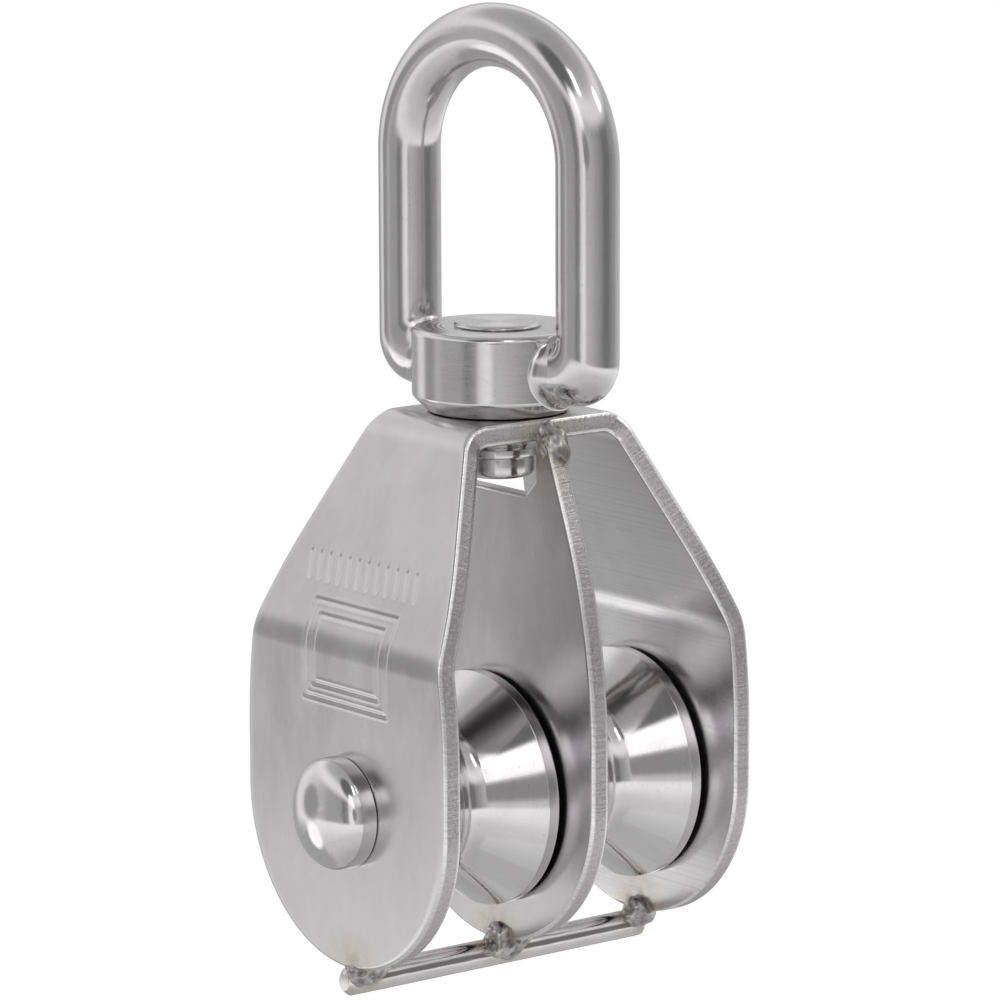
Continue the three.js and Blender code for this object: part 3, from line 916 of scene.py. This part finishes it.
def swivel_pin():
    """The pin: a rounded head under the crown, and its end peened over the collar."""
    foot, top = PIN[0][2], PIN[1][2]
    head_radius = 3.1
    head_top = WASHER[0][2] - SEAT_GAP
    peen_radius = 3.8
    peen_face = COLLAR[1][2] + SEAT_GAP
    ring_depth = 0.05
    ring_steps = 30
    rings_from = peen_radius - 0.7
    corners = [(0, foot), (head_radius, foot, 0.6), (head_radius, head_top, 0.15),
               (PIN_RADIUS, head_top), (PIN_RADIUS, peen_face),
               (peen_radius, peen_face, 0.08), (peen_radius - 0.3, top, 0.15)]
    for step in range(ring_steps):
        radius = rings_from * (1 - step / ring_steps)
        corners.append((radius, top - turning_mark(step, 2.5, ring_depth)))
    corners.append((0, top - ring_depth))
    piece = new_object("swivel_pin_finished", *lathe(rounded(corners), 96, about_z))
    keep_edges_crisp(piece)
    return finish_piece(piece, "eye", COLLAR_MATERIAL, "swivel_pin")


def washer():
    """Plain washer between the pin's head and the crown."""
    low, high = WASHER[0][2], WASHER[1][2]
    bore = PIN_RADIUS + HOLE_CLEARANCE
    outer = WASHER[1][0]
    corners = [(bore, low), (outer, low, 0.1), (outer, high, 0.1), (bore, high)]
    piece = new_object("swivel_washer_finished", *lathe(rounded(corners), 96, about_z))
    keep_edges_crisp(piece)
    return finish_piece(piece, "eye", COLLAR_MATERIAL, "swivel_washer")


# ---- Eye ----

INNER_BEND = 1.0
OUTER_BEND = 3.7
EYE_TOP_Z = EYE[1][2]
ARCH_Z = EYE_TOP_Z - BAR_RADIUS - LEG_SPACING


def bar_sections():
    """Inner and outer point (y, z) of each section of the front half of the bar, foot to crest."""
    straight_step = 0.5
    bend_steps = 16
    arch_steps = 40
    start_y = -COLLAR_RADIUS + 1.0
    inner_z, outer_z = FOOT_Z + BAR_RADIUS, FOOT_Z - BAR_RADIUS
    inner_y, outer_y = -LEG_SPACING + BAR_RADIUS, -LEG_SPACING - BAR_RADIUS
    bend_y = outer_y + OUTER_BEND
    sections = [((start_y, inner_z), (start_y, outer_z))]
    for step in range(bend_steps + 1):
        angle = math.pi / 2 * step / bend_steps
        inner = (inner_y + INNER_BEND * (1 - math.sin(angle)),
                 inner_z + INNER_BEND * (1 - math.cos(angle)))
        outer = (bend_y - OUTER_BEND * math.sin(angle),
                 outer_z + OUTER_BEND * (1 - math.cos(angle)))
        sections.append((inner, outer))
    for z in spaced(inner_z + INNER_BEND + straight_step, ARCH_Z, straight_step):
        sections.append(((inner_y, z), (outer_y, z)))
    centre = Vector((0, ARCH_Z))
    for step in range(1, arch_steps + 1):
        angle = math.pi / 2 * step / arch_steps
        direction = Vector((-math.cos(angle), math.sin(angle)))
        sections.append((tuple(centre + direction * (LEG_SPACING - BAR_RADIUS)),
                         tuple(centre + direction * (LEG_SPACING + BAR_RADIUS))))
    return sections


def eye_bar():
    """Polished round bar, bent to a long eye, with its feet turned in square to the collar."""
    front = bar_sections()
    rear = [((-i[0], i[1]), (-o[0], o[1])) for i, o in reversed(front[:-1])]
    segments = 40
    points = []
    rings = []
    for inner, outer in front + rear:
        middle = (Vector(inner) + Vector(outer)) / 2
        spoke = (Vector(outer) - Vector(inner)) / 2
        rings.append(range(len(points), len(points) + segments))
        for k in range(segments):
            angle = 2 * math.pi * k / segments
            place = middle + spoke * math.cos(angle)
            x = BAR_RADIUS * math.sin(angle)
            dent = 1 - abs(wobble((x, place.x, place.y), 5.0, 0.006))
            points.append(turned_eye((x * dent, place.x, place.y)))
    faces = [tuple(reversed(rings[0])), tuple(rings[-1])] + stitched(rings)
    piece = new_object("eye_bar_finished", points, faces)
    collar_gap = 0.02
    drill(piece, COLLAR_RADIUS + collar_gap, COLLAR[0][2] - 1, COLLAR[1][2] + 1, 128, about_z)
    keep_edges_crisp(piece)
    return finish_piece(piece, "eye", BAR_MATERIAL, "eye_bar")


def foot_weld(side, node):
    """Smoothly ground fillet of weld where a foot of the bar meets the collar."""
    around = 72
    across = 12
    out_reach = 0.6
    bar_reach = 1.6
    into_bar = 0.5
    into_collar = 0.6
    lowest = COLLAR[0][2] + 0.4
    highest = COLLAR[1][2] - 0.1
    points = []
    rings = []
    for k in range(around):
        angle = 2 * math.pi * k / around
        swell = 1 + 0.08 * noise.noise(Vector((math.cos(angle), math.sin(angle), side)))
        width, height = out_reach * swell, bar_reach * swell
        loop = []
        for step in range(across + 1):
            share = math.pi / 2 * step / across
            loop.append((BAR_RADIUS + width * (1 - math.sin(share)),
                         height * (1 - math.cos(share))))
        loop += [(BAR_RADIUS - into_bar, height), (BAR_RADIUS - into_bar, -into_collar),
                 (BAR_RADIUS + width, -into_collar)]
        ring = []
        for radius, rise in loop:
            x = radius * math.sin(angle)
            z = min(max(FOOT_Z + radius * math.cos(angle), lowest), highest)
            rough = wobble((x, side * 9, z), 0.7, 0.02)
            y = math.sqrt(COLLAR_RADIUS ** 2 - x ** 2) + rise + rough
            ring.append(len(points))
            points.append(turned_eye((x, side * y, z)))
        rings.append(ring)
    piece = new_object(node + "_finished", points, stitched(rings, closed=True))
    keep_edges_crisp(piece)
    return finish_piece(piece, "eye", FOOT_WELD_MATERIAL, node)


# ---- Welds of the frame ----

CROWN_WELD_RADII = (1.9, 1.1, 2.3)
ROD_WELD_RADII = (2.0, 1.5, 1.6)
ROD_WELD_SIZES = (1.0, 1.1, 0.8)


def weld_blob(node, centre, radii, taper=0.0, lean=0.0):
    """Irregular blob of weld metal: an ellipsoid with swells, wrinkles and pits.

    taper narrows its lower end, and lean moves that end forwards, along a slanting edge.
    """
    bm = bmesh.new()
    bmesh.ops.create_icosphere(bm, subdivisions=5, radius=1)
    faces = [tuple(v.index for v in face.verts) for face in bm.faces]
    points = []
    for vertex in bm.verts:
        direction = vertex.co.normalized()
        width = 1 - taper * (0.5 - direction.z / 2)
        offset = Vector((direction.x * radii[0] * width, direction.y * radii[1],
                         direction.z * radii[2]))
        spot = Vector(centre) + offset
        wrinkle = abs(noise.noise(spot / 0.8))
        swell = 1 + wobble(spot, 1.5, 0.28) - 0.12 * (0.25 - wrinkle) + wobble(spot, 0.35, 0.03)
        moved = offset * swell
        moved.y += lean * math.copysign(1, centre[1]) * -direction.z * radii[2]
        points.append(Vector(centre) + moved)
    bm.free()
    piece = new_object(node + "_finished", points, faces)
    return finish_piece(piece, "frame", WELD_MATERIAL, node)


# ---- The block ----

strap()
centre_plate()
sheave("sheave_left", "left_sheave", SHEAVE_LEFT)
sheave("sheave_right", "right_sheave", SHEAVE_RIGHT)
axle_rivet()
tie_rod()
collar()
swivel_pin()
washer()
eye_bar()
foot_weld(-1, "eye_weld_front")
foot_weld(1, "eye_weld_rear")
for name, centre in zip(("front", "rear"), CROWN_WELD_AT):
    weld_blob("crown_weld_" + name, centre, CROWN_WELD_RADII, taper=0.55, lean=math.tan(TAPER))
for name, centre, size in zip(("left", "centre", "right"), ROD_WELD_AT, ROD_WELD_SIZES):
    weld_blob("tie_rod_weld_" + name, centre, [radius * size for radius in ROD_WELD_RADII])


# ---- Floor, light and camera ----

def floor():
    """Pale plain floor under the hanging block. Sizes in metres."""
    half = 4.0
    drop = 0.03
    z = cad_box[0][2] - drop
    mesh = bpy.data.meshes.new("floor")
    corners = [(-half, -half, z), (half, -half, z), (half, half, z), (-half, half, z)]
    mesh.from_pydata(corners, [], [(0, 1, 2, 3)])
    obj = bpy.data.objects.new("floor", mesh)
    bpy.context.scene.collection.objects.link(obj)
    material = bpy.data.materials.new("pale_floor")
    material.use_nodes = True
    shader = material.node_tree.nodes["Principled BSDF"]
    shader.inputs["Base Color"].default_value = (0.95, 0.95, 0.95, 1)
    shader.inputs["Roughness"].default_value = 0.9
    shader.inputs["Emission Color"].default_value = (1, 1, 1, 1)
    shader.inputs["Emission Strength"].default_value = 0.45
    mesh.materials.append(material)
    obj.visible_glossy = False


def softbox(name, azimuth, elevation, distance, size, power):
    """A rectangular area light that faces the block. Angles in degrees, sizes in metres.

    The azimuth runs from -Y towards +X.
    """
    light = bpy.data.lights.new(name, "AREA")
    light.shape = "RECTANGLE"
    light.size, light.size_y = size
    light.energy = power
    obj = bpy.data.objects.new(name, light)
    bpy.context.scene.collection.objects.link(obj)
    a, e = math.radians(azimuth), math.radians(elevation)
    direction = Vector((math.sin(a) * math.cos(e), -math.cos(a) * math.cos(e), math.sin(e)))
    obj.location = ORIGIN + direction * distance
    obj.rotation_euler = direction.to_track_quat("Z", "Y").to_euler()
    obj.visible_camera = False


# Brightness of the studio round the block near floor level, by azimuth in degrees from +X.
STUDIO_RING = [(-180, 0.40), (-170, 0.24), (-160, 0.30), (-151, 0.85), (-141, 1.0), (-130, 0.62),
               (-112, 0.50), (-96, 0.40), (-80, 0.32), (-66, 0.20), (-50, 0.20), (-36, 0.30),
               (-20, 0.36), (0, 0.55), (30, 0.60), (80, 0.62), (104, 0.90), (126, 0.70),
               (143, 0.55), (158, 0.42), (180, 0.40)]
# Brightness above and below that ring, by the sine of the elevation.
STUDIO_HEIGHTS = [(-1.0, 0.50), (-0.6, 0.70), (-0.25, 1.0), (0.35, 0.85), (0.55, 0.90),
                  (0.8, 0.50), (1.0, 0.42)]
# Sines of the elevations at which the ring gives way to them, above and below.
RING_TOP = (0.28, 0.46)
RING_FOOT = (-0.25, -0.19)
# Panels and gaps of the tent: azimuth, elevation, radius, softness and brightness.
STUDIO_PANELS = [
    (66, -28, 26, 16, 0.44),     # shaded far side of the table
    (108, -40, 16, 12, 0.42),    # its shaded near side
    (128, -2, 8, 8, 0.36),       # grey backdrop
    (128, -25, 7, 5, 1.30),      # bright edge of the table
    (-152, 49, 14, 11, 0.16),    # dark gap high up
    (-141, 30, 4, 6, 1.6),       # lamps beside the camera
    (-134, 21, 4, 4, 1.3),
    (-147, 23, 3, 5, 1.2),
    (-130, 31, 2, 4, 1.1),
    (-131, 4, 7, 6, 0.30),       # dark band across the camera's height
]


def ramp(nodes, source, stops, low, high):
    """A soft ramp of greys from (position, grey) stops between low and high."""
    node = nodes.tree.nodes.new("ShaderNodeValToRGB")
    node.color_ramp.interpolation = "EASE"
    elements = node.color_ramp.elements
    while len(elements) < len(stops):
        elements.new(0.5)
    for element, (position, grey) in zip(elements, stops):
        element.position = (position - low) / (high - low)
        element.color = (grey, grey, grey, 1)
    nodes.link(source, node.inputs["Fac"])
    return node.outputs["Color"]


def soft_disc(nodes, direction, azimuth, elevation, radius, softness):
    """1 within radius degrees of a direction, fading to 0 over the softness."""
    a, e = math.radians(azimuth), math.radians(elevation)
    dot = nodes.tree.nodes.new("ShaderNodeVectorMath")
    dot.operation = "DOT_PRODUCT"
    dot.inputs[1].default_value = (math.cos(a) * math.cos(e), math.sin(a) * math.cos(e),
                                   math.sin(e))
    nodes.link(direction, dot.inputs[0])
    outer = math.cos(math.radians(radius + softness))
    inner = math.cos(math.radians(radius))
    return nodes.span(dot.outputs["Value"], outer, inner, 0, 1, soft=True)


def studio_world():
    """A soft light tent: a ring of greys round the block, brighter heights, and panels."""
    world = bpy.data.worlds.new("studio")
    bpy.context.scene.world = world
    nodes = Nodes(world)
    direction = nodes.coordinates.outputs["Generated"]
    around = nodes.tree.nodes.new("ShaderNodeTexGradient")
    around.gradient_type = "RADIAL"
    nodes.link(direction, around.inputs["Vector"])
    split = nodes.tree.nodes.new("ShaderNodeSeparateXYZ")
    nodes.link(direction, split.inputs["Vector"])
    height = split.outputs["Z"]
    ring = ramp(nodes, around.outputs["Fac"], STUDIO_RING, -180, 180)
    heights = ramp(nodes, nodes.span(height, -1, 1, 0, 1), STUDIO_HEIGHTS, -1, 1)
    above = nodes.span(height, *RING_TOP, 0, 1, soft=True)
    below = nodes.span(height, *RING_FOOT, 1, 0, soft=True)
    colour = nodes.mix(nodes.math("MAXIMUM", above, below), ring, heights)
    for azimuth, elevation, radius, softness, grey in STUDIO_PANELS:
        disc = soft_disc(nodes, direction, azimuth, elevation, radius, softness)
        colour = nodes.mix(disc, colour, (grey, grey, grey))
    nodes.link(colour, nodes.tree.nodes["Background"].inputs["Color"])


# Where the camera stands, in millimetres from the middle of the axle, and how it looks.
CAMERA_AT = (-268.29, -344.49, 104.36)
CAMERA_AZIMUTH = math.radians(-37.93)
CAMERA_ELEVATION = math.radians(10.38)
CAMERA_ROLL = math.radians(-0.2)
LENS_LENGTH = 190.5
SENSOR_WIDTH = 36


def camera():
    """The camera, at the photograph's viewing angle."""
    data = bpy.data.cameras.new("camera")
    data.sensor_width = SENSOR_WIDTH
    data.lens = LENS_LENGTH
    data.clip_start = 0.01
    obj = bpy.data.objects.new("camera", data)
    bpy.context.scene.collection.objects.link(obj)
    turn = (Matrix.Rotation(CAMERA_AZIMUTH, 4, "Z")
            @ Matrix.Rotation(math.pi / 2 - CAMERA_ELEVATION, 4, "X")
            @ Matrix.Rotation(CAMERA_ROLL, 4, "Z"))
    obj.matrix_world = Matrix.Translation(Vector(CAMERA_AT) * MM + ORIGIN) @ turn
    bpy.context.scene.camera = obj


floor()
studio_world()
softbox("front", -20, 52, 1.0, (0.15, 0.3), 0.3)
softbox("right", 50, 35, 1.0, (0.2, 0.2), 0.3)
camera()
bpy.context.scene.view_settings.view_transform = "Standard"
